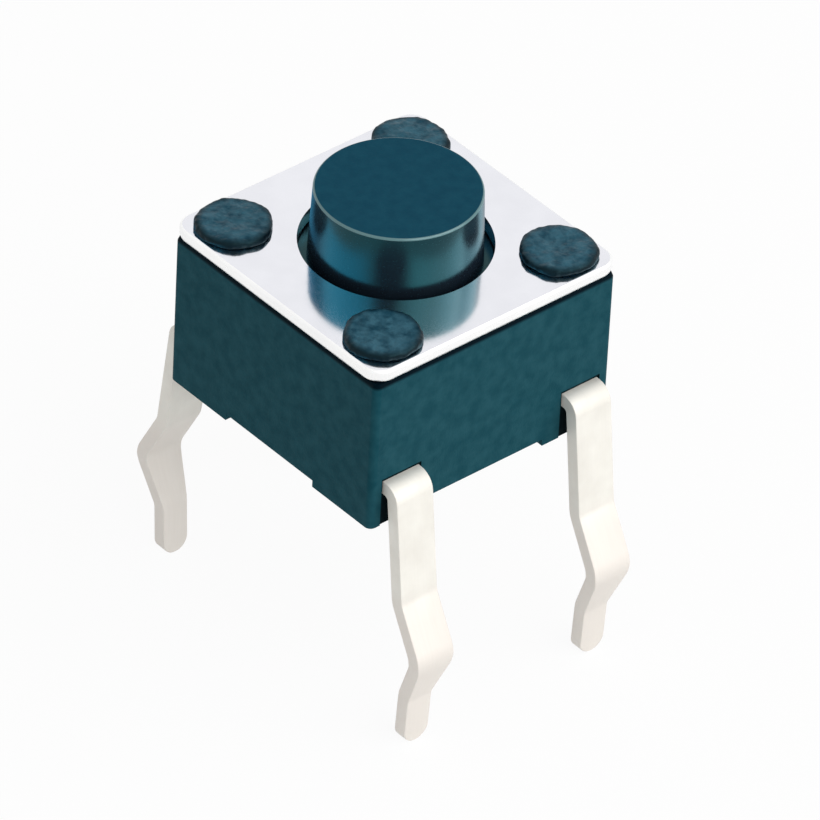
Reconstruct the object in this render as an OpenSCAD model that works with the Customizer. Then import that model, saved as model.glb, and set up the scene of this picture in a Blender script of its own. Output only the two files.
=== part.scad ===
// Through-hole tactile push button switch, 6 mm square, 5 mm tall above the board.
// Millimetres. The origin is the centre of the lead pattern, in the plane of the board.
// +Z points out of the button, and the two rows of leads stand at +X and -X.

/* [Base moulding] */
// Side of the square base
body_w = 6; // [5.8:0.05:6.3]
// Height of the top face of the base above the board
base_top = 3.45; // [3.3:0.05:3.8]
// Radius of the upright corners of the base
base_corner_r = 0.14; // [0.1:0.02:0.4]
// Height of the four feet that hold the base off the board
foot_h = 0.15; // [0.1:0.01:0.25]
// Length of each foot along X
foot_len = 1.7; // [1.3:0.05:2.1]
// How far the two wide feet reach past the lead, along Y
foot_past_lead = 0.46; // [0.3:0.02:0.8]
// How far the two narrow feet reach past the middle of the lead, along Y
foot_past_middle = 0.15; // [0.05:0.01:0.3]
// Thinnest wall between the bore and a post
bore_wall = 0.26; // [0.18:0.01:0.4]
// Width of the ledge between the bore and the dome's nest
nest_ledge = 0.37; // [0.25:0.01:0.5]
// Height of the round nest that holds the dome in its place
nest_h = 0.45; // [0.3:0.05:0.6]
// Diameter of the moulding pin holes in the underside
pin_hole_d = 0.6; // [0.4:0.05:0.7]
// Distance of the moulding pin holes from the middle, along X
pin_hole_x = 0.8; // [0.5:0.05:0.9]

/* [Staked posts] */
// Distance of each post's axis from the two nearest sides
post_inset = 0.8; // [0.8:0.01:0.9]
// Radius of the posts where they pass through the cover
post_r = 0.45; // [0.35:0.01:0.5]
// How far the melted heads reach past the posts
head_lip = 0.32; // [0.2:0.01:0.34]
// Height of the melted heads above the cover
head_h = 0.2; // [0.12:0.01:0.3]
// Rounding of the heads' upper edges
head_round = 0.1; // [0.04:0.01:0.11]
// Depth of the shallow dish that the staking tool leaves in a head
head_dish = 0.03; // [0.01:0.005:0.05]

/* [Cover plate] */
// Thickness of the steel cover
cover_t = 0.3; // [0.2:0.02:0.4]
// How far the cover overhangs the base on each side
cover_over = 0.06; // [0:0.01:0.1]
// Radius of the cover's corners
cover_corner_r = 0.42; // [0.3:0.02:0.6]
// Gap all round between the button and the hole in the cover
cover_gap = 0.2; // [0.1:0.01:0.25]

/* [Button] */
// How far the button stands out of the cover
button_rise = 1.25; // [0.8:0.05:4]
// How far the button's flange reaches past its stem
flange_lip = 0.55; // [0.45:0.01:0.65]
// How much the stem's radius narrows up to its top face
stem_draft = 0.06; // [0.02:0.01:0.1]
// Rounding of the button's top edge
stem_round = 0.12; // [0.05:0.01:0.2]
// Diameter of the nub that pushes the dome
nub_d = 1.5; // [1:0.05:1.8]
// Room under the flange with the button pressed
flange_room = 0.55; // [0.3:0.05:0.8]

/* [Snap dome] */
// Thickness of the dome's sheet
dome_t = 0.08; // [0.06:0.005:0.1]
// Travel of the button, which is also the dome's free height
travel = 0.25; // [0.2:0.01:0.3]

/* [Terminals] */
// Thickness of the terminal sheet
lead_t = 0.3; // [0.24:0.01:0.34]
// Width of the leads down to the kink
lead_w = 0.9; // [0.7:0.02:0.92]
// Width of the leads at their tips
tip_w = 0.6; // [0.5:0.02:0.66]
// Distance of a lead's middle from the nearest side along Y
lead_inset = 0.75; // [0.7:0.01:0.8]
// How far the upright part of a lead stands out from the base, to its outer face
lead_reach = 0.4; // [0.38:0.01:0.6]
// Height of the terminals' upper face above the board
lead_top = 1.03; // [0.85:0.01:1.1]
// Inner radius of the bend where a lead turns down
bend_r = 0.08; // [0.08:0.01:0.2]
// Inner radius of the bends at the kink
kink_r = 0.35; // [0.1:0.01:0.4]
// Depth below the board at which the gently splayed part ends
splay_drop = 1.6; // [1.5:0.05:2]
// Outward offset of the lead there
splay_out = 0.3; // [0.2:0.02:0.6]
// Drop from there to the outermost point of the kink
kink_drop = 1.16; // [0.9:0.02:1.3]
// Outward offset of that point
kink_out = 0.92; // [0.8:0.02:1.1]
// Drop from there to the heel, where the lead turns down again
heel_drop = 1.1; // [0.55:0.01:1.3]
// Outward offset of the heel
heel_out = 0.46; // [0.4:0.02:0.6]
// Drop from the heel to the tip
tip_drop = 1.14; // [1:0.02:2]
// Outward offset of the tip
tip_out = 0.4; // [0.2:0.02:0.5]
// Width of the tongue and arms that carry the contacts
tongue_w = 0.7; // [0.6:0.05:0.8]
// Radius of the pad under the dome's centre
pad_r = 0.5; // [0.4:0.02:0.6]
// Distance of the outer contacts from the dome's edge
rim_inset = 0.23; // [0.15:0.01:0.3]
// Height of the raised contacts
contact_h = 0.1; // [0.06:0.01:0.14]
// Radius of the raised contacts
contact_r = 0.26; // [0.2:0.01:0.3]

/* [Hidden] */
$fn = 96;
arc_steps = 6;

// Play and clearances
end_play = 0.05;      // between the flange and the cover
flange_gap = 0.15;    // between the flange and its bore
nest_gap = 0.08;      // between the dome's rim and its nest
hole_gap = 0.04;      // between a post and its hole in the cover
nub_gap = 0.01;       // between the nub and the dome at rest
over = 1;             // how far a cutting solid runs past what it cuts

half = body_w / 2;
cover_top = base_top + cover_t;
post_at = half - post_inset;
head_r = post_r + head_lip;
bore_r = post_at * sqrt(2) - post_r - bore_wall;
flange_r = bore_r - flange_gap;
stem_r = flange_r - flange_lip;
stem_top_r = stem_r - stem_draft;
cover_hole_r = stem_r + cover_gap;
button_top = cover_top + button_rise;
nest_r = bore_r - nest_ledge;
nest_top = lead_top + nest_h;
dome_r = nest_r - nest_gap;
rim_contact_x = dome_r - rim_inset;
contact_top = lead_top + contact_h;
dome_crown = contact_top + travel + dome_t;
nub_bottom = dome_crown + nub_gap;
flange_top = base_top - end_play;
flange_bottom = nest_top + travel + flange_room;
row_x = half + lead_reach - lead_t / 2;
row_y = half - lead_inset;
lead_mid_z = lead_top - lead_t / 2;
kink_z = splay_drop + kink_drop;
heel_z = kink_z + heel_drop;
lead_len = heel_z + tip_drop;
foot_wide = lead_inset + lead_w / 2 + foot_past_lead;
foot_narrow = lead_inset + foot_past_middle;

// The middle line of a lead, seen along Y, from inside the strip out and down to the tip
lead_line = [
    [half - lead_t, lead_mid_z],
    [row_x, lead_mid_z],
    [row_x + splay_out, -splay_drop],
    [row_x + kink_out, -kink_z],
    [row_x + heel_out, -heel_z],
    [row_x + tip_out, -lead_len]
];
lead_radii = [bend_r, kink_r, kink_r, kink_r];

function unit(v) = v / norm(v);
function left_of(v) = [-v[1], v[0]];
function cross_z(a, b) = a[0] * b[1] - a[1] * b[0];
function clamp_cos(c) = max(-1, min(1, c));

// Points of a rounded corner, each with the direction of travel there
function corner(before, at, after, r) =
    let (u = unit(at - before))
    let (v = unit(after - at))
    let (turn = acos(clamp_cos(u * v)))
    let (side = cross_z(u, v) < 0 ? -1 : 1)
    let (start = at - u * r * tan(turn / 2))
    [for (k = [0 : arc_steps])
        let (a = turn * k / arc_steps)
        [start + r * (sin(a) * u + side * (1 - cos(a)) * left_of(u)),
         cos(a) * u + side * sin(a) * left_of(u)]];

// A line with all its corners rounded, as [point, direction] pairs
function rounded_line(line, radii) =
    let (last = len(line) - 1)
    concat(
        [[line[0], unit(line[1] - line[0])]],
        [for (i = [1 : last - 1])
            each corner(line[i - 1], line[i], line[i + 1], radii[i - 1])],
        [[line[last], unit(line[last] - line[last - 1])]]);

// Outline of a sheet of thickness t that follows such a line
function sheet_outline(path, t) = concat(
    [for (p = path) p[0] + left_of(p[1]) * t / 2],
    [for (i = [len(path) - 1 : -1 : 0]) path[i][0] - left_of(path[i][1]) * t / 2]);

// Copies at the four posts
module at_posts() {
    for (sx = [-1, 1], sy = [-1, 1])
        translate([sx * post_at, sy * post_at, 0]) children();
}

// Square with round corners, drawn around the origin
module rounded_square(w, r) {
    square([w, w - 2 * r], center = true);
    square([w - 2 * r, w], center = true);
    for (sx = [-1, 1], sy = [-1, 1])
        translate([sx * (w / 2 - r), sy * (w / 2 - r)]) circle(r);
}

// One lead, bent from the sheet, on the +X side and centred on Y = 0
module lead() {
    centre_r = [for (r = lead_radii) r + lead_t / 2];
    intersection() {
        rotate([90, 0, 0])
            linear_extrude(lead_w + over, center = true)
                polygon(sheet_outline(rounded_line(lead_line, centre_r), lead_t));
        translate([half - over, 0, 0])
            rotate([90, 0, 90])
                linear_extrude(row_x + kink_out + 2 * over - half)
                    lead_front();
    }
}

// Front view of a lead: full width to the kink, then tapering to a round tip
module lead_front() {
    tip_centre = -lead_len + tip_w / 2;
    polygon([
        [-lead_w / 2, lead_top + over],
        [-lead_w / 2, -kink_z],
        [-tip_w / 2, -heel_z],
        [-tip_w / 2, tip_centre],
        [tip_w / 2, tip_centre],
        [tip_w / 2, -heel_z],
        [lead_w / 2, -kink_z],
        [lead_w / 2, lead_top + over]
    ]);
    translate([0, tip_centre]) circle(tip_w / 2);
}

// Strip that joins the two leads of a terminal inside the base, with its ends past the sides as given
module strip(past = 0) {
    translate([-half - past, -lead_w / 2, lead_top - lead_t])
        cube([body_w + 2 * past, lead_w, lead_t]);
}

// Tongue from the strip at -Y to the pad under the dome's centre
module centre_tongue() {
    translate([0, 0, lead_top - lead_t]) linear_extrude(lead_t) {
        translate([-tongue_w / 2, -row_y]) square([tongue_w, row_y]);
        circle(pad_r);
    }
}

// Two arms from the strip at +Y to the contacts under the dome's rim
module rim_arms() {
    for (s = [-1, 1])
        translate([s * rim_contact_x, 0, lead_top - lead_t]) linear_extrude(lead_t) {
            translate([-tongue_w / 2, 0]) square([tongue_w, row_y]);
            circle(tongue_w / 2);
        }
}

// Raised contact: a low spherical button pressed up from the sheet
module contact() {
    ball_r = (contact_r * contact_r + contact_h * contact_h) / (2 * contact_h);
    rotate_extrude() intersection() {
        translate([0, contact_h - ball_r]) circle(ball_r, $fn = 240);
        translate([0, -lead_t / 2]) square([contact_r, lead_t / 2 + contact_h]);
    }
}

// The flat parts of both terminals, which the base is moulded around
module centre_flat(past = 0) {
    translate([0, -row_y, 0]) strip(past);
    centre_tongue();
}

module rim_flat(past = 0) {
    translate([0, row_y, 0]) strip(past);
    rim_arms();
}

// Both leads of a terminal, at +X and at -X
module lead_pair() {
    lead();
    mirror([1, 0, 0]) lead();
}

module terminal_centre() {
    color([0.86, 0.85, 0.8]) {
        centre_flat();
        translate([0, -row_y, 0]) lead_pair();
        translate([0, 0, lead_top]) contact();
    }
}

module terminal_rim() {
    color([0.86, 0.85, 0.8]) {
        rim_flat();
        translate([0, row_y, 0]) lead_pair();
        for (s = [-1, 1])
            translate([s * rim_contact_x, 0, lead_top]) contact();
    }
}

// Space of one foot at the corner (sx, sy), as wide along Y as given
module foot(sx, sy, w) {
    translate([sx > 0 ? half - foot_len : -half - over, sy > 0 ? half - w : -half - over, -2 * over])
        cube([foot_len + over, w + over, 2 * over + foot_h + over]);
}

// What is cut from the underside to leave the four feet standing
module underside() {
    difference() {
        translate([-half - over, -half - over, -over])
            cube([body_w + 2 * over, body_w + 2 * over, over + foot_h]);
        foot(1, 1, foot_wide);
        foot(-1, -1, foot_wide);
        foot(1, -1, foot_narrow);
        foot(-1, 1, foot_narrow);
    }
}

// Melted head of a post, with a rounded edge and a shallow dish
module post_head() {
    rotate_extrude() difference() {
        union() {
            square([head_r, head_h - head_round]);
            square([head_r - head_round, head_h]);
            translate([head_r - head_round, head_h - head_round]) circle(head_round, $fn = 32);
        }
        translate([-over, head_h - head_dish])
            square([over + head_r - 2 * head_round, over]);
    }
}

// Post that passes through the cover, with the head that holds the cover down
module post() {
    translate([0, 0, base_top - over]) cylinder(h = over + cover_t + head_h / 2, r = post_r);
    translate([0, 0, cover_top]) post_head();
}

module base() {
    color([0.11, 0.29, 0.32]) {
        difference() {
            linear_extrude(base_top) rounded_square(body_w, base_corner_r);
            underside();
            translate([0, 0, nest_top]) cylinder(h = base_top - nest_top + over, r = bore_r);
            translate([0, 0, lead_top]) cylinder(h = nest_h + over, r = nest_r);
            centre_flat(over);
            rim_flat(over);
            for (sx = [-1, 1], sy = [-1, 1])
                translate([sx * pin_hole_x, sy * row_y, -over])
                    cylinder(h = over + lead_mid_z, d = pin_hole_d);
        }
        at_posts() post();
    }
}

module cover() {
    color([0.86, 0.87, 0.88])
        translate([0, 0, base_top]) linear_extrude(cover_t) difference() {
            rounded_square(body_w + 2 * cover_over, cover_corner_r);
            circle(cover_hole_r);
            at_posts() circle(post_r + hole_gap);
        }
}

// Turned profile: nub, flange, drafted stem and rounded top edge
module button() {
    stem_foot = [stem_r, flange_top];
    stem_edge = [stem_top_r, button_top];
    top_middle = [0, button_top];
    color([0.1, 0.27, 0.3]) rotate_extrude() polygon([
        [0, nub_bottom],
        [nub_d / 2, nub_bottom],
        [nub_d / 2, flange_bottom],
        [flange_r, flange_bottom],
        [flange_r, flange_top],
        stem_foot,
        for (p = corner(stem_foot, stem_edge, top_middle, stem_round)) p[0],
        top_middle
    ]);
}

module snap_dome() {
    inner_r = (dome_r * dome_r + travel * travel) / (2 * travel);
    color([0.9, 0.88, 0.8])
        translate([0, 0, contact_top]) rotate_extrude() intersection() {
            translate([0, travel - inner_r]) difference() {
                circle(inner_r + dome_t, $fn = 360);
                circle(inner_r, $fn = 360);
            }
            square([dome_r, travel + 2 * dome_t]);
        }
}

base();
cover();
button();
snap_dome();
terminal_centre();
terminal_rim();
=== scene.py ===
"""Looks of the tactile push button switch: finishes, detailed pieces, light and camera.

Every length is in metres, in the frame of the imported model.
"""
import logging
import math
from abc import ABC, abstractmethod
from dataclasses import dataclass
from enum import Enum
from typing import Callable, Sequence

import bmesh
import bpy
from mathutils import Matrix, Vector


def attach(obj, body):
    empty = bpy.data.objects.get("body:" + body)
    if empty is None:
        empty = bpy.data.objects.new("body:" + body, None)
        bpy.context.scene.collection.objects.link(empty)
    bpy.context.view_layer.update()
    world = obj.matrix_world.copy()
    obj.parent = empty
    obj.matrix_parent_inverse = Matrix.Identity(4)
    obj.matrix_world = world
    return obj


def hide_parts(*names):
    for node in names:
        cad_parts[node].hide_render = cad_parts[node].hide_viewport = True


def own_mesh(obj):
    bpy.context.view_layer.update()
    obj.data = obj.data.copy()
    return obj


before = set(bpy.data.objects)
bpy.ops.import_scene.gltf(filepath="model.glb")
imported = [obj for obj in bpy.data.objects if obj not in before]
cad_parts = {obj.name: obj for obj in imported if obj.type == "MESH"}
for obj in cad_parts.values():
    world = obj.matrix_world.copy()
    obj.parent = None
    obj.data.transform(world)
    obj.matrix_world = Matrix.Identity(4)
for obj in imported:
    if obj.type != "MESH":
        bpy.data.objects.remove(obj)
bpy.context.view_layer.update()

MM = 0.001
# Points closer together than this are one point
SAME = 0.0001 * MM
# Thinner slivers than this are closed after a cut
SLIVER = 0.0005 * MM
# How far an edge may lie from the height that it is picked by
NEAR = 0.01 * MM
# Bends between two faces, in degrees: up to the first they count as flat, up to the second as smooth,
# and past the third as sharp
FLAT, SMOOTH, SHARP = 0.6, 40.0, 50.0
# Least upright part of the normal of a level face
LEVEL = 0.9
# Parts of a noise's range that clouds and grain use
CLOUD_RANGE = (0.35, 0.65)
GRAIN_RANGE = (0.3, 0.7)
# Distance of the posts' axes from the middle, along x and y
POST_AT = 2.2 * MM
# Signs of x and y at the four corners
CORNERS = ((-1, -1), (-1, 1), (1, -1), (1, 1))
log = logging.getLogger("push_button_switch")

Colour = tuple[float, float, float]
Socket = bpy.types.NodeSocket
WHITE: Colour = (1.0, 1.0, 1.0)


class Slot(Enum):
    """The record's material slots."""

    BASE = "base_plastic"
    COVER = "cover_steel"
    BUTTON = "button_plastic"
    DOME = "dome_steel"
    TERMINAL = "terminal_tin"


class Body(Enum):
    """The record's bodies."""

    HOUSING = "housing"
    PLUNGER = "plunger"


def toward(azimuth: float, elevation: float) -> Vector:
    """Gives a direction from the object.

    Args:
        azimuth: the angle round the object from its front, in degrees.
        elevation: the angle above the board, in degrees.

    Returns:
        The direction, one metre long.
    """
    a, e = math.radians(azimuth), math.radians(elevation)
    return Vector((math.sin(a) * math.cos(e), -math.cos(a) * math.cos(e), math.sin(e)))


class NodeBench:
    """A node tree with short ways to add and join its nodes."""

    def __init__(self, tree: bpy.types.NodeTree) -> None:
        """Takes a node tree.

        Args:
            tree: the tree of a material or of the surroundings.
        """
        self.tree = tree

    def add(self, kind: str, **settings: object) -> bpy.types.Node:
        """Adds a node.

        Args:
            kind: its type.
            settings: its settings.

        Returns:
            The node.
        """
        node = self.tree.nodes.new(kind)
        for name, value in settings.items():
            setattr(node, name, value)
        return node

    def join(self, source: Socket, target: Socket) -> None:
        """Links one socket to another."""
        self.tree.links.new(source, target)

    def maths(self, operation: str, first: Socket, second: Socket | float) -> Socket:
        """Works out a value from two others.

        Args:
            operation: what is done with them.
            first: the first value.
            second: the second value, or the socket that gives it.

        Returns:
            The result.
        """
        node = self.add("ShaderNodeMath", operation=operation)
        self.join(first, node.inputs[0])
        if isinstance(second, float):
            node.inputs[1].default_value = second
        else:
            self.join(second, node.inputs[1])
        return node.outputs[0]

    def vector_maths(self, operation: str, first: Socket, second: Sequence[float] | None = None) -> Socket:
        """Works out a vector or its measure from a vector.

        Args:
            operation: what is done with it.
            first: the vector.
            second: the fixed vector that it is set against.

        Returns:
            The result.
        """
        node = self.add("ShaderNodeVectorMath", operation=operation)
        self.join(first, node.inputs[0])
        if second is not None:
            node.inputs[1].default_value = second
        return node.outputs["Value" if operation in ("LENGTH", "DOT_PRODUCT") else "Vector"]

    def ramp(self, source: Socket, low: float, high: float, to_low: float, to_high: float,
             way: str = "LINEAR") -> Socket:
        """Maps a range of values to another.

        Args:
            source: the value.
            low: the start of its range.
            high: the end of its range.
            to_low: what low becomes.
            to_high: what high becomes.
            way: how it goes from one to the other.

        Returns:
            The mapped value.
        """
        node = self.add("ShaderNodeMapRange", interpolation_type=way)
        for name, value in (("From Min", low), ("From Max", high), ("To Min", to_low), ("To Max", to_high)):
            node.inputs[name].default_value = value
        self.join(source, node.inputs["Value"])
        return node.outputs["Result"]

    def blend(self, share: Socket, first: Colour | Socket, second: Colour) -> Socket:
        """Mixes two colours.

        Args:
            share: the share of the second one.
            first: the first colour, linear, or the socket that gives it.
            second: the second colour, linear.

        Returns:
            The mixed colour.
        """
        node = self.add("ShaderNodeMix", data_type="RGBA")
        self.join(share, node.inputs[0])
        if isinstance(first, tuple):
            node.inputs[6].default_value = (*first, 1.0)
        else:
            self.join(first, node.inputs[6])
        node.inputs[7].default_value = (*second, 1.0)
        return node.outputs[2]

    def direct(self, rays: bpy.types.Node) -> Socket:
        """Tells rays that show a thing, straight, mirrored or through glass, from those that light it.

        Args:
            rays: the node that knows the rays.

        Returns:
            One for a ray that shows a thing, and nought for the others.
        """
        shown = rays.outputs["Is Camera Ray"]
        for kind in ("Is Glossy Ray", "Is Transmission Ray"):
            shown = self.maths("MAXIMUM", shown, rays.outputs[kind])
        return shown


class MaterialBench(NodeBench):
    """A new material's node tree, with its shader and the piece's own coordinates."""

    def __init__(self, name: str) -> None:
        """Starts a material.

        Args:
            name: the material's name.
        """
        self.material = bpy.data.materials.new(name)
        self.material.use_nodes = True
        super().__init__(self.material.node_tree)
        self.shader = self.tree.nodes["Principled BSDF"]
        self.place = self.add("ShaderNodeTexCoord").outputs["Object"]

    def feed(self, **values: Socket | float | Colour) -> None:
        """Sets the shader's inputs.

        Args:
            values: the inputs by their names, with _ for each space.
        """
        for name, value in values.items():
            target = self.shader.inputs[name.replace("_", " ")]
            if isinstance(value, float):
                target.default_value = value
            elif isinstance(value, tuple):
                target.default_value = (*value, 1.0)
            else:
                self.join(value, target)

    def noise(self, size: float, detail: float, scale: Sequence[float] = (1.0, 1.0, 1.0)) -> Socket:
        """Adds a cloudy pattern.

        Args:
            size: the size of its patches.
            detail: how many finer layers it has.
            scale: the factor on its coordinates along x, y and z.

        Returns:
            The pattern's value, from 0 to 1.
        """
        mapping = self.add("ShaderNodeMapping")
        mapping.inputs["Scale"].default_value = scale
        self.join(self.place, mapping.inputs["Vector"])
        node = self.add("ShaderNodeTexNoise")
        node.inputs["Scale"].default_value = 1.0 / size
        node.inputs["Detail"].default_value = detail
        self.join(mapping.outputs["Vector"], node.inputs["Vector"])
        return node.outputs["Fac"]

    def height(self) -> Socket:
        """Gives the height above the board."""
        node = self.add("ShaderNodeSeparateXYZ")
        self.join(self.place, node.inputs["Vector"])
        return node.outputs["Z"]

    def from_post(self) -> Socket:
        """Gives the level distance from the axis of the nearest post."""
        quarter = self.vector_maths("ABSOLUTE", self.place)
        offset = self.vector_maths("SUBTRACT", quarter, (POST_AT, POST_AT, 0.0))
        level = self.vector_maths("MULTIPLY", offset, (1.0, 1.0, 0.0))
        return self.vector_maths("LENGTH", level)

    def bump(self, height: Socket, depth: float) -> Socket:
        """Adds relief.

        Args:
            height: the relief's value, from 0 to 1.
            depth: its real depth.

        Returns:
            The changed normal.
        """
        node = self.add("ShaderNodeBump")
        node.inputs["Distance"].default_value = depth
        self.join(height, node.inputs["Height"])
        return node.outputs["Normal"]


@dataclass(frozen=True)
class Finish(ABC):
    """Look of a surface, with two colours that mix in clouds."""

    name: str
    colour: Colour
    shade: Colour
    roughness: tuple[float, float]

    @abstractmethod
    def material(self) -> bpy.types.Material:
        """Builds the material."""

    def clouded(self, bench: MaterialBench, size: float, detail: float) -> Socket:
        """Mixes the two colours.

        Args:
            bench: the material's nodes.
            size: the size of the clouds.
            detail: how many finer layers they have.

        Returns:
            The mixed colour.
        """
        share = bench.ramp(bench.noise(size, detail), *CLOUD_RANGE, 0.0, 1.0)
        return bench.blend(share, self.colour, self.shade)


@dataclass(frozen=True)
class MouldedPlastic(Finish):
    """Dyed nylon with a fine spark-eroded grain and faint clouds.

    It darkens to the painted shade colour from the first height of the shade under the cover to its second,
    and from the rim shade's first distance from the nearest post's axis to its second; both are painted
    shade.
    """

    grain: float
    grain_depth: float
    specular: float
    tint: Colour
    cloud: float = 0.9 * MM
    shade_under_cover: tuple[float, float] | None = None
    rim_shade: tuple[float, float] | None = None
    painted_shade_colour: Colour = (0.001, 0.004, 0.008)
    cloud_detail: float = 4.0
    grain_detail: float = 2.0

    def material(self) -> bpy.types.Material:
        """Builds the material."""
        bench = MaterialBench(self.name)
        colour = self.clouded(bench, self.cloud, self.cloud_detail)
        if self.shade_under_cover is not None:
            colour = bench.blend(bench.ramp(bench.height(), *self.shade_under_cover, 0.0, 1.0), colour, self.painted_shade_colour)
        if self.rim_shade is not None:
            colour = bench.blend(bench.ramp(bench.from_post(), *self.rim_shade, 0.0, 1.0), colour, self.painted_shade_colour)
        grain = bench.noise(self.grain, self.grain_detail)
        bench.feed(Base_Color=colour, Roughness=bench.ramp(grain, *GRAIN_RANGE, *self.roughness),
                   Normal=bench.bump(grain, self.grain_depth), Specular_IOR_Level=self.specular,
                   Specular_Tint=self.tint)
        return bench.material


@dataclass(frozen=True)
class BrightMetal(Finish):
    """Metal sheet with rolling lines along x and faint cloudy patches.

    It darkens with painted shade towards the lower shade's colour, from the lower shade's first height to
    its second.
    """

    line: float
    line_depth: float
    metallic: float = 1.0
    lower_shade: tuple[float, float] | None = None
    lower_shade_colour: Colour = (0.78, 0.735, 0.685)
    patch: float = 0.7 * MM
    detail: float = 3.0
    line_stretch: tuple[float, float, float] = (0.06, 1.0, 0.06)

    def material(self) -> bpy.types.Material:
        """Builds the material."""
        bench = MaterialBench(self.name)
        colour = self.clouded(bench, self.patch, self.detail)
        if self.lower_shade is not None:
            colour = bench.blend(bench.ramp(bench.height(), *self.lower_shade, 0.0, 1.0), colour, self.lower_shade_colour)
        lines = bench.noise(self.line, self.detail, self.line_stretch)
        bench.feed(Base_Color=colour, Roughness=bench.ramp(lines, *GRAIN_RANGE, *self.roughness),
                   Normal=bench.bump(lines, self.line_depth), Metallic=self.metallic)
        return bench.material


FINISHES: dict[Slot, Finish] = {
    Slot.BASE: MouldedPlastic(
        "base_plastic", (0.007, 0.052, 0.070), (0.014, 0.070, 0.090), (0.45, 0.6), grain=0.05 * MM,
        grain_depth=0.004 * MM, specular=0.04, tint=(0.15, 0.9, 1.0), cloud=0.3 * MM,
        # Painted shade: the base turns near-black from 3.30 mm up, in the groove under the cover.
        shade_under_cover=(3.30 * MM, 3.36 * MM)),
    Slot.BUTTON: MouldedPlastic(
        "button_plastic", (0.008, 0.012, 0.019), (0.009, 0.015, 0.022), (0.22, 0.28), grain=0.04 * MM,
        grain_depth=0.0004 * MM, specular=0.5, tint=(0.08, 0.9, 1.0)),
    Slot.COVER: BrightMetal(
        "cover_steel", (0.845, 0.85, 0.895), (0.815, 0.82, 0.865), (0.11, 0.13), line=0.06 * MM,
        line_depth=0.0001 * MM),
    Slot.DOME: BrightMetal(
        "dome_steel", (0.62, 0.60, 0.56), (0.55, 0.53, 0.50), (0.15, 0.25), line=0.03 * MM,
        line_depth=0.0005 * MM),
    Slot.TERMINAL: BrightMetal(
        "terminal_tin", (0.83, 0.81, 0.755), (0.77, 0.745, 0.69), (0.62, 0.72), line=0.05 * MM,
        # Painted shade: the leads darken from 1.3 mm to 2.0 mm below the board.
        line_depth=0.0004 * MM, metallic=0.5, lower_shade=(-1.3 * MM, -2.0 * MM)),
}
MELTED = MouldedPlastic(
    "melted_plastic", (0.006, 0.042, 0.070), (0.038, 0.118, 0.165), (0.3, 0.55), grain=0.09 * MM,
    grain_depth=0.012 * MM, specular=0.2, tint=(0.4, 0.9, 1.0), cloud=0.2 * MM,
    # Painted contact shade: each head darkens towards its edge, from 0.6 mm to 0.74 mm off its post's axis.
    rim_shade=(0.6 * MM, 0.74 * MM))
SLOT_SHADE = MouldedPlastic(
    "slot_shade", (0.002, 0.007, 0.009), (0.003, 0.009, 0.012), (0.6, 0.7), grain=0.05 * MM,
    grain_depth=0.002 * MM, specular=0.02, tint=(0.3, 0.9, 1.0))
BUTTON_TOP = MouldedPlastic(
    "button_top", (0.004, 0.053, 0.090), (0.006, 0.063, 0.102), (0.5, 0.6), grain=0.03 * MM,
    grain_depth=0.002 * MM, specular=0.06, tint=(0.4, 0.9, 1.0), cloud=0.25 * MM)
# Rounded top edge of the button: its paler colour is a painted highlight, its stronger gloss is real.
BUTTON_RIM_HIGHLIGHT = MouldedPlastic(
    "button_rim_highlight", (0.07, 0.16, 0.17), (0.08, 0.18, 0.19), (0.15, 0.2), grain=0.04 * MM,
    grain_depth=0.0005 * MM, specular=0.9, tint=(0.8, 0.95, 1.0))
# Outer edges of the plate: their whiter colour is a painted highlight, their rougher finish is the real
# sheared edge.
SHEARED_EDGE_HIGHLIGHT = BrightMetal(
    "sheared_edge_highlight", (0.98, 0.98, 0.975), (0.95, 0.95, 0.95), (0.25, 0.35), line=0.06 * MM,
    line_depth=0.0001 * MM, metallic=0.9)


@dataclass(frozen=True)
class Glow:
    """Coloured patch of the surroundings that only shows where one shiny surface mirrors another.

    The patch is full up to the first angle of its reach from its middle, and gone past the second.
    """

    azimuth: float
    elevation: float
    reach: tuple[float, float]
    colour: Colour


@dataclass(frozen=True)
class Lamp:
    """Soft lamp that points at the object, with its angles in degrees and its power in watts."""

    name: str
    azimuth: float
    elevation: float
    distance: float
    width: float
    height: float
    power: float

    def hang(self) -> None:
        """Adds the lamp to the scene."""
        data = bpy.data.lights.new(self.name, "AREA")
        data.shape = "RECTANGLE"
        data.size = self.width
        data.size_y = self.height
        data.energy = self.power
        lamp = bpy.data.objects.new(self.name, data)
        bpy.context.scene.collection.objects.link(lamp)
        back = toward(self.azimuth, self.elevation)
        lamp.location = back * self.distance
        lamp.rotation_euler = back.to_track_quat("Z", "Y").to_euler()


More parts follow.
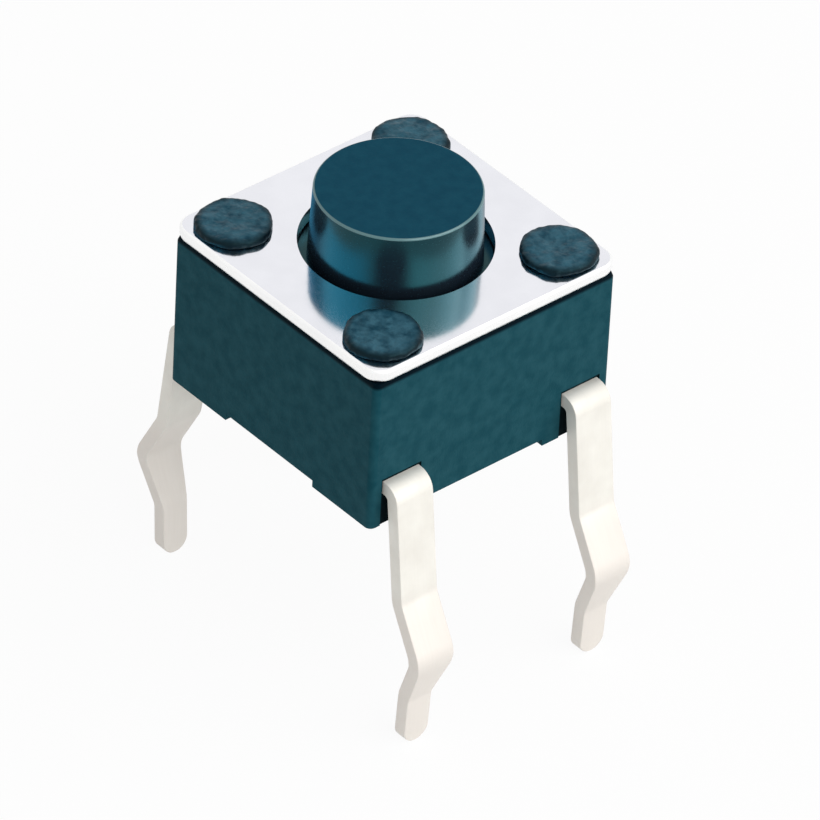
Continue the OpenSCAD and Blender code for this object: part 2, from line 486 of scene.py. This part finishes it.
@dataclass
class Studio:
    """Pale floor, soft light and the camera at the photograph's angle.

    The slide moves the camera to its right and upwards. A mirrored ray deeper than mirrored_twice has
    met a second shiny surface.
    """

    azimuth: float = 47.8
    elevation: float = 37.7
    roll: float = -3.1
    target: tuple[float, float, float] = (0.0, 0.0, 0.001)
    distance: float = 0.2
    near_clip: float = 0.01
    pixels_per_metre: float = 51900.0
    picture: float = 820.0
    slide: tuple[float, float] = (0.000383, -0.001071)
    sensor: float = 36.0
    floor_z: float = -0.0050
    floor_half: float = 0.6
    floor_white: float = 0.93
    floor_roughness: float = 0.9
    floor_glow: float = 0.93
    soft_light: float = 0.46
    mirrored_twice: float = 2.5
    key: Lamp = Lamp("key_lamp", 105.0, 38.0, 0.26, 0.36, 0.3, 0.66)
    glows: tuple[Glow, ...] = (
        Glow(-100.0, 38.0, (15.0, 45.0), (0.08, 0.42, 0.68)),
        Glow(-22.0, 38.0, (12.0, 42.0), (0.65, 2.6, 3.6)),
        Glow(158.0, 38.0, (15.0, 40.0), (1.35, 2.1, 2.3)),
        Glow(47.8, 36.0, (14.0, 26.0), (0.0, 0.0, 0.0)),
    )

    def camera(self) -> None:
        """Makes the camera and turns it to the photograph's view."""
        a, r = math.radians(self.azimuth), math.radians(self.roll)
        back = toward(self.azimuth, self.elevation)
        right = Vector((math.cos(a), math.sin(a), 0.0))
        up = back.cross(right)
        turned_right = math.cos(r) * right - math.sin(r) * up
        turned_up = math.sin(r) * right + math.cos(r) * up
        data = bpy.data.cameras.new("photo_camera")
        data.sensor_width = self.sensor
        data.lens = self.pixels_per_metre * self.distance / self.picture * self.sensor
        data.clip_start = self.near_clip
        camera = bpy.data.objects.new("photo_camera", data)
        bpy.context.scene.collection.objects.link(camera)
        place = Vector(self.target) + back * self.distance
        place += turned_right * self.slide[0] + turned_up * self.slide[1]
        turn = Matrix((turned_right, turned_up, back)).transposed().to_4x4()
        camera.matrix_world = Matrix.Translation(place) @ turn
        bpy.context.scene.camera = camera

    def world(self) -> None:
        """Lights the scene evenly, shows plain white behind the object and adds the glows."""
        world = bpy.data.worlds.new("studio")
        bpy.context.scene.world = world
        world.use_nodes = True
        bench = NodeBench(world.node_tree)
        background = bench.tree.nodes["Background"]
        rays = bench.add("ShaderNodeLightPath")
        strength = bench.ramp(bench.direct(rays), 0.0, 1.0, self.soft_light, 1.0)
        bench.join(strength, background.inputs["Strength"])
        place = bench.add("ShaderNodeTexCoord").outputs["Generated"]
        twice = bench.maths("GREATER_THAN", rays.outputs["Ray Depth"], self.mirrored_twice)
        mirrored = bench.maths("MULTIPLY", rays.outputs["Is Glossy Ray"], twice)
        colour = WHITE
        for glow in self.glows:
            facing = bench.vector_maths("DOT_PRODUCT", place, toward(glow.azimuth, glow.elevation))
            full, gone = (math.cos(math.radians(angle)) for angle in glow.reach)
            inside = bench.ramp(facing, gone, full, 0.0, 1.0, "SMOOTHSTEP")
            colour = bench.blend(bench.maths("MULTIPLY", mirrored, inside), colour, glow.colour)
        bench.join(colour, background.inputs["Color"])

    def floor(self) -> None:
        """Lays the floor under the lead tips. It shows white but keeps a soft shadow."""
        bpy.ops.object.select_all(action="DESELECT")
        bpy.ops.mesh.primitive_plane_add(size=2.0 * self.floor_half, location=(0.0, 0.0, self.floor_z))
        floor = Moves.settle("floor")
        bench = MaterialBench("floor_paint")
        bench.feed(Base_Color=(self.floor_white,) * 3, Roughness=self.floor_roughness)
        shown = bench.direct(bench.add("ShaderNodeLightPath"))
        mixed = bench.add("ShaderNodeMixShader")
        bench.join(bench.ramp(shown, 0.0, 1.0, 0.0, self.floor_glow), mixed.inputs[0])
        bench.join(bench.shader.outputs[0], mixed.inputs[1])
        bench.join(bench.add("ShaderNodeEmission").outputs[0], mixed.inputs[2])
        bench.join(mixed.outputs[0], bench.tree.nodes["Material Output"].inputs["Surface"])
        floor.data.materials.append(bench.material)

    def build(self) -> None:
        """Builds the stage, the light and the camera."""
        bpy.context.scene.view_settings.view_transform = "Standard"
        self.camera()
        self.world()
        self.floor()
        self.key.hang()


class Moves:
    """Modelling moves that the sub-assemblies share."""

    @staticmethod
    def take(piece: bpy.types.Object) -> None:
        """Makes a piece the only one selected."""
        bpy.ops.object.select_all(action="DESELECT")
        piece.select_set(True)
        bpy.context.view_layer.objects.active = piece

    @staticmethod
    def settle(name: str) -> bpy.types.Object:
        """Names the new primitive and moves its place into its mesh.

        Args:
            name: the piece's name.

        Returns:
            The piece.
        """
        piece = bpy.context.object
        piece.name = name
        bpy.ops.object.transform_apply(location=True, rotation=True, scale=True)
        return piece

    @staticmethod
    def drum(name: str, radius: float, low: float, high: float, at: tuple[float, float] = (0.0, 0.0),
             sides: int = 128) -> bpy.types.Object:
        """Adds an upright cylinder.

        Args:
            name: its name.
            radius: its radius.
            low: the height of its lower face.
            high: the height of its upper face.
            at: its axis.
            sides: how many sides it has.

        Returns:
            The cylinder.
        """
        bpy.ops.object.select_all(action="DESELECT")
        bpy.ops.mesh.primitive_cylinder_add(vertices=sides, radius=radius, depth=high - low,
                                            location=(*at, (low + high) / 2.0))
        return Moves.settle(name)

    @staticmethod
    def block(name: str, size: tuple[float, float], low: float, high: float,
              at: tuple[float, float] = (0.0, 0.0)) -> bpy.types.Object:
        """Adds an upright block.

        Args:
            name: its name.
            size: its size along x and y.
            low: the height of its lower face.
            high: the height of its upper face.
            at: its middle.

        Returns:
            The block.
        """
        bpy.ops.object.select_all(action="DESELECT")
        bpy.ops.mesh.primitive_cube_add(size=1.0, location=(*at, (low + high) / 2.0),
                                        scale=(*size, high - low))
        return Moves.settle(name)

    @staticmethod
    def open(piece: bpy.types.Object, action: str = "DESELECT") -> None:
        """Opens a piece in edit mode.

        Args:
            piece: the piece.
            action: SELECT if all of it is to be selected, and DESELECT if nothing is.
        """
        Moves.take(piece)
        bpy.ops.object.mode_set(mode="EDIT")
        bpy.ops.mesh.select_all(action=action)

    @staticmethod
    def close() -> None:
        """Leaves edit mode."""
        bpy.ops.object.mode_set(mode="OBJECT")

    @staticmethod
    def pick_faces(piece: bpy.types.Object, test: Callable[[Vector], bool]) -> None:
        """Selects faces of an open piece.

        Args:
            piece: the piece.
            test: says from a face's normal if it is wanted.
        """
        bpy.ops.mesh.select_mode(type="FACE")
        mesh = bmesh.from_edit_mesh(piece.data)
        for face in mesh.faces:
            face.select_set(test(face.normal))
        bmesh.update_edit_mesh(piece.data)

    @staticmethod
    def round_edges(piece: bpy.types.Object, test: Callable[[Vector, Vector], bool], width: float,
                    steps: int) -> None:
        """Rounds edges of an open piece.

        Args:
            piece: the piece.
            test: says from an edge's two ends if it is wanted.
            width: how far the rounding reaches.
            steps: how many faces it has across.
        """
        bpy.ops.mesh.select_mode(type="EDGE")
        mesh = bmesh.from_edit_mesh(piece.data)
        for edge in mesh.edges:
            edge.select_set(test(edge.verts[0].co, edge.verts[1].co))
        bmesh.update_edit_mesh(piece.data)
        bpy.ops.mesh.bevel(offset=width, segments=steps, affect="EDGES")

    @staticmethod
    def above(height: float) -> Callable[[Vector, Vector], bool]:
        """Gives the test for edges that lie wholly above a height."""
        return lambda a, b: min(a.z, b.z) > height

    @staticmethod
    def below(height: float) -> Callable[[Vector, Vector], bool]:
        """Gives the test for edges that lie wholly below a height."""
        return lambda a, b: max(a.z, b.z) < height

    @staticmethod
    def draw_out(rise: float, spread: float, about: Sequence[float]) -> None:
        """Extrudes the selected faces upwards and widens or narrows them.

        Args:
            rise: how far they move along z.
            spread: the factor on their width.
            about: the point that they widen about.
        """
        bpy.ops.mesh.extrude_region_move(TRANSFORM_OT_translate={"value": (0.0, 0.0, rise)})
        bpy.ops.transform.resize(value=(spread, spread, 1.0), center_override=about)

    @staticmethod
    def press(piece: bpy.types.Object, kind: str, **settings: object) -> None:
        """Adds a modifier to a piece and applies it.

        Args:
            piece: the piece.
            kind: the modifier's type.
            settings: its settings.
        """
        Moves.take(piece)
        modifier = piece.modifiers.new(kind.lower(), kind)
        for name, value in settings.items():
            setattr(modifier, name, value)
        bpy.ops.object.modifier_apply(modifier=modifier.name)

    @staticmethod
    def soften(piece: bpy.types.Object, width: float, steps: int = 3) -> None:
        """Rounds every sharp edge of a piece.

        Args:
            piece: the piece.
            width: how far the rounding reaches.
            steps: how many faces it has across.
        """
        Moves.press(piece, "BEVEL", width=width, segments=steps, limit_method="ANGLE",
                    angle_limit=math.radians(SHARP))

    @staticmethod
    def cut(piece: bpy.types.Object, cutter: bpy.types.Object) -> None:
        """Cuts one solid out of another and removes the cutter."""
        Moves.press(piece, "BOOLEAN", object=cutter, operation="DIFFERENCE", solver="EXACT")
        bpy.data.objects.remove(cutter)

    @staticmethod
    def copy_of(node: str, name: str) -> bpy.types.Object:
        """Copies a CAD node, merges its doubles and joins its flat faces.

        Args:
            node: the CAD node.
            name: the copy's name.

        Returns:
            The copy.
        """
        piece = bpy.data.objects.new(name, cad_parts[node].data.copy())
        bpy.context.scene.collection.objects.link(piece)
        piece.data.materials.clear()
        Moves.open(piece, "SELECT")
        bpy.ops.mesh.remove_doubles(threshold=SAME)
        bpy.ops.mesh.customdata_custom_splitnormals_clear()
        bpy.ops.mesh.dissolve_limited(angle_limit=math.radians(FLAT))
        Moves.close()
        return piece

    @staticmethod
    def smooth(piece: bpy.types.Object, angle: float = SMOOTH) -> None:
        """Shades a piece smooth up to an angle, in degrees."""
        Moves.take(piece)
        bpy.ops.object.shade_smooth_by_angle(angle=math.radians(angle))
        Moves.press(piece, "WEIGHTED_NORMAL", mode="FACE_AREA", weight=100, keep_sharp=True)

    @staticmethod
    def paint(piece: bpy.types.Object, *finishes: Finish,
              choose: Callable[[bpy.types.MeshPolygon], int] = lambda face: 0) -> None:
        """Gives a piece its finishes.

        Args:
            piece: the piece.
            finishes: the finishes, the main one first.
            choose: says which of them a face has.
        """
        for finish in finishes:
            piece.data.materials.append(finish.material())
        for face in piece.data.polygons:
            face.material_index = choose(face)

    @staticmethod
    def hand_over(piece: bpy.types.Object, body: Body, slot: Slot, *nodes: str) -> None:
        """Sets a finished piece on its body in place of its CAD nodes.

        Args:
            piece: the piece.
            body: the body that it rides on.
            slot: its material slot; not used.
            nodes: the CAD nodes that it stands for.
        """
        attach(piece, body.value)
        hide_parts(*nodes)
        log.info("%s: %d faces", piece.name, len(piece.data.polygons))


class SubAssembly(ABC):
    """Pieces that are modelled and set in place together."""

    @abstractmethod
    def build(self) -> None:
        """Models the pieces and sets them in place."""


@dataclass
class SwitchBase(SubAssembly):
    """Base moulding up to the staked posts, with a groove under the cover and slots round the leads."""

    post_cut: float = 3.6 * MM
    half: float = 3.0 * MM
    top: float = 3.45 * MM
    rim_width: float = 0.15 * MM
    groove: float = 0.12 * MM
    groove_steps: int = 2
    edge: float = 0.03 * MM
    lead_at: float = 2.25 * MM
    lead_top: float = 1.03 * MM
    slot_low: float = -1.0 * MM
    slot_half: float = 0.49 * MM
    slot_rise: float = 0.07 * MM
    slot_depth: float = 0.03 * MM
    slot_play: float = 0.005 * MM

    def on_rim(self, a: Vector, b: Vector) -> bool:
        """Says from an edge's two ends if it runs round the top of the sides."""
        level = min(a.z, b.z) > self.top - NEAR and max(a.z, b.z) < self.top + NEAR
        return level and min(max(abs(p.x), abs(p.y)) for p in (a, b)) > self.half - self.rim_width

    def in_slot(self, face: bpy.types.MeshPolygon) -> int:
        """Says if a face lies in a slot, past the skin of the sides."""
        x, y, z = face.center
        depth, aside = self.half - abs(x), abs(abs(y) - self.lead_at)
        return int(self.slot_play < depth < self.slot_depth + self.slot_play
                   and aside < self.slot_half + self.slot_play
                   and self.edge < z < self.lead_top + self.slot_rise + self.slot_play)

    def build(self) -> None:
        """Models the moulding and sets it in place."""
        piece = Moves.copy_of("base", "base_moulding")
        Moves.open(piece, "SELECT")
        bpy.ops.mesh.bisect(plane_co=(0.0, 0.0, self.post_cut), plane_no=(0.0, 0.0, 1.0), use_fill=True,
                            clear_outer=True, threshold=SAME)
        Moves.round_edges(piece, self.on_rim, self.groove, self.groove_steps)
        Moves.close()
        Moves.soften(piece, self.edge)
        size = (2.0 * self.slot_depth, 2.0 * self.slot_half)
        for sx, sy in CORNERS:
            Moves.cut(piece, Moves.block("slot", size, self.slot_low, self.lead_top + self.slot_rise,
                                         (sx * self.half, sy * self.lead_at)))
        Moves.open(piece, "SELECT")
        bpy.ops.mesh.remove_doubles(threshold=SLIVER)
        bpy.ops.mesh.dissolve_degenerate(threshold=SLIVER)
        Moves.close()
        Moves.smooth(piece)
        Moves.paint(piece, FINISHES[Slot.BASE], SLOT_SHADE, choose=self.in_slot)
        Moves.hand_over(piece, Body.HOUSING, Slot.BASE, "base")


@dataclass
class StakedHeads(SubAssembly):
    """Four post ends melted down over the cover, each a little different."""

    post_r: float = 0.45 * MM
    sides: int = 48
    root: float = 3.55 * MM
    seat: float = 3.752 * MM
    seat_play: float = 0.001 * MM
    head_r: float = 0.75 * MM
    rises: tuple[float, ...] = (0.03 * MM, 0.06 * MM, 0.05 * MM, 0.03 * MM)
    spreads: tuple[float, ...] = (1.02, 1.0, 0.97, 0.92)
    rings: tuple[float, ...] = (0.1 * MM, 0.12 * MM, 0.12 * MM, 0.12 * MM, 0.1 * MM)
    halvings: int = 2
    lump: float = 0.5 * MM
    lump_depth: float = 0.09 * MM
    crumb: float = 0.13 * MM
    crumb_depth: float = 0.022 * MM
    crumb_angle: float = 60.0
    places: tuple[tuple[str, int, int], ...] = (
        ("head_front", 1, -1), ("head_right", 1, 1), ("head_left", -1, -1), ("head_back", -1, 1))

    def head(self, name: str, x: float, y: float) -> bpy.types.Object:
        """Models one head.

        Args:
            name: its name.
            x: its place along x.
            y: its place along y.

        Returns:
            The head.
        """
        piece = Moves.drum(name, self.post_r, self.root, self.seat, (x, y), self.sides)
        about = (x, y, self.seat)
        Moves.open(piece)
        Moves.pick_faces(piece, lambda normal: normal.z > LEVEL)
        Moves.draw_out(0.0, self.head_r / self.post_r, about)
        for rise, spread in zip(self.rises, self.spreads):
            Moves.draw_out(rise, spread, about)
        for ring in self.rings:
            bpy.ops.mesh.inset(thickness=ring)
        Moves.close()
        Moves.press(piece, "SUBSURF", levels=self.halvings, render_levels=self.halvings)
        melted = piece.vertex_groups.new(name="melted")
        loose = [v.index for v in piece.data.vertices if v.co.z > self.seat - self.seat_play]
        melted.add(loose, 1.0, "REPLACE")
        for size, depth in ((self.lump, self.lump_depth), (self.crumb, self.crumb_depth)):
            pattern = bpy.data.textures.new(f"{name}_pattern", "CLOUDS")
            pattern.noise_scale = size
            Moves.press(piece, "DISPLACE", texture=pattern, texture_coords="LOCAL", strength=depth,
                        mid_level=0.5, vertex_group="melted")
        Moves.smooth(piece, self.crumb_angle)
        return piece

    def build(self) -> None:
        """Models the four heads and sets them in place."""
        for name, sx, sy in self.places:
            piece = self.head(name, sx * POST_AT, sy * POST_AT)
            Moves.paint(piece, MELTED)
            Moves.hand_over(piece, Body.HOUSING, Slot.BASE, "base")


@dataclass
class CoverPlate(SubAssembly):
    """Punched steel cover with rolled-over upper edges."""

    side: float = 6.12 * MM
    low: float = 3.45 * MM
    high: float = 3.75 * MM
    corner: float = 0.42 * MM
    corner_steps: int = 20
    punch: tuple[float, float] = (3.0 * MM, 4.0 * MM)
    button_hole: float = 1.901 * MM
    button_sides: int = 192
    post_hole: float = 0.49 * MM
    post_sides: int = 64
    rollover: float = 0.07 * MM
    rollover_steps: int = 5
    breakout: float = 0.12 * MM
    breakout_steps: int = 3
    burr: float = 0.03 * MM
    level: float = 0.98

    def on_outer_edge(self, face: bpy.types.MeshPolygon) -> int:
        """Says if a face lies on the plate's outer edge, away from the flat top and the holes; such faces
        get the whiter finish that paints a highlight.
        """
        x, y = face.center.xy
        past_button = math.hypot(x, y) - self.button_hole
        past_post = math.hypot(abs(x) - POST_AT, abs(y) - POST_AT) - self.post_hole
        return int(face.normal.z < self.level and min(past_button, past_post) > 2.0 * self.burr)

    def build(self) -> None:
        """Models the plate and sets it in place."""
        piece = Moves.block("cover_plate", (self.side, self.side), self.low, self.high)
        Moves.open(piece)
        Moves.round_edges(piece, lambda a, b: abs(a.z - b.z) > NEAR, self.corner, self.corner_steps)
        Moves.round_edges(piece, Moves.above(self.high - NEAR), self.rollover, self.rollover_steps)
        Moves.round_edges(piece, Moves.below(self.low + NEAR), self.breakout, self.breakout_steps)
        Moves.close()
        Moves.cut(piece, Moves.drum("button_hole", self.button_hole, *self.punch, sides=self.button_sides))
        for sx, sy in CORNERS:
            Moves.cut(piece, Moves.drum("post_hole", self.post_hole, *self.punch,
                                        (sx * POST_AT, sy * POST_AT), self.post_sides))
        Moves.soften(piece, self.burr)
        Moves.smooth(piece)
        Moves.paint(piece, FINISHES[Slot.COVER], SHEARED_EDGE_HIGHLIGHT, choose=self.on_outer_edge)
        Moves.hand_over(piece, Body.HOUSING, Slot.COVER, "cover")


@dataclass
class PushButton(SubAssembly):
    """Button moulding: polished stem, satin top, hidden flange and nub."""

    sides: int = 160
    nub_r: float = 0.75 * MM
    nub_low: float = 1.47 * MM
    nub_taper: float = 0.96
    flange_low: float = 2.28 * MM
    flange_high: float = 3.4 * MM
    flange_r: float = 2.251 * MM
    stem_r: float = 1.701 * MM
    top_r: float = 1.641 * MM
    top: float = 5.0 * MM
    top_play: float = 0.002 * MM
    top_edge: float = 0.045 * MM
    top_steps: int = 6
    flange_edge: float = 0.05 * MM
    flange_steps: int = 3
    past_stem: float = 0.1 * MM
    level_play: float = 0.001 * MM

    def on_flange(self, a: Vector, b: Vector) -> bool:
        """Says from an edge's two ends if it runs round the flange."""
        level = abs(a.z - b.z) < self.level_play
        return level and min(a.xy.length, b.xy.length) > self.stem_r + self.past_stem

    def zone(self, face: bpy.types.MeshPolygon) -> int:
        """Gives 1 for a face of the top, 2 for one of its rounded edge, which has the painted highlight,
        and 0 for the others.
        """
        height = face.center.z
        if height > self.top - self.top_play:
            return 1
        return 2 if height > self.top - self.top_edge else 0

    def build(self) -> None:
        """Models the button and sets it in place."""
        piece = Moves.drum("push_button", self.flange_r, self.flange_low, self.flange_high,
                           sides=self.sides)
        Moves.open(piece)
        Moves.pick_faces(piece, lambda normal: normal.z > LEVEL)
        bpy.ops.mesh.inset(thickness=self.flange_r - self.stem_r)
        Moves.draw_out(self.top - self.flange_high, self.top_r / self.stem_r, (0.0, 0.0, self.top))
        Moves.pick_faces(piece, lambda normal: normal.z < -LEVEL)
        bpy.ops.mesh.inset(thickness=self.flange_r - self.nub_r)
        Moves.draw_out(self.nub_low - self.flange_low, self.nub_taper, (0.0, 0.0, self.nub_low))
        Moves.round_edges(piece, Moves.above(self.top - NEAR), self.top_edge, self.top_steps)
        Moves.round_edges(piece, self.on_flange, self.flange_edge, self.flange_steps)
        Moves.round_edges(piece, Moves.below(self.nub_low + NEAR), self.flange_edge, self.flange_steps)
        Moves.close()
        Moves.smooth(piece)
        Moves.paint(piece, FINISHES[Slot.BUTTON], BUTTON_TOP, BUTTON_RIM_HIGHLIGHT, choose=self.zone)
        Moves.hand_over(piece, Body.PLUNGER, Slot.BUTTON, "button")


@dataclass
class SnapDome(SubAssembly):
    """Thin domed spring disc that flattens under the button."""

    rim_r: float = 1.951 * MM
    seat: float = 1.13 * MM
    rise: float = 0.25 * MM
    sheet: float = 0.08 * MM
    segments: int = 96
    rings: int = 128

    def build(self) -> None:
        """Models the disc and sets it in place."""
        ball = (self.rim_r ** 2 + self.rise ** 2) / (2.0 * self.rise)
        bpy.ops.object.select_all(action="DESELECT")
        bpy.ops.mesh.primitive_uv_sphere_add(segments=self.segments, ring_count=self.rings, radius=ball,
                                             location=(0.0, 0.0, self.seat + self.rise - ball))
        piece = Moves.settle("snap_dome_disc")
        Moves.open(piece, "SELECT")
        bpy.ops.mesh.bisect(plane_co=(0.0, 0.0, self.seat), plane_no=(0.0, 0.0, 1.0), clear_inner=True,
                            threshold=SAME)
        Moves.close()
        Moves.press(piece, "SOLIDIFY", thickness=self.sheet, offset=1.0)
        Moves.smooth(piece)
        Moves.paint(piece, FINISHES[Slot.DOME])
        Moves.hand_over(piece, Body.HOUSING, Slot.DOME, "snap_dome")
        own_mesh(piece)


@dataclass
class Terminals(SubAssembly):
    """Two tinned stampings with softened edges, each with two leads."""

    nodes: tuple[str, ...] = ("terminal_centre", "terminal_rim")
    edge: float = 0.05 * MM

    def build(self) -> None:
        """Models both stampings and sets them in place."""
        for node in self.nodes:
            piece = Moves.copy_of(node, f"{node}_stamping")
            Moves.soften(piece, self.edge)
            Moves.smooth(piece)
            Moves.paint(piece, FINISHES[Slot.TERMINAL])
            Moves.hand_over(piece, Body.HOUSING, Slot.TERMINAL, node)


def main() -> None:
    """Builds the stage and the pieces."""
    logging.basicConfig(level=logging.INFO, format="%(name)s: %(message)s")
    Studio().build()
    for part in (SwitchBase(), StakedHeads(), CoverPlate(), PushButton(), SnapDome(), Terminals()):
        part.build()


if __name__ == "__main__":
    main()
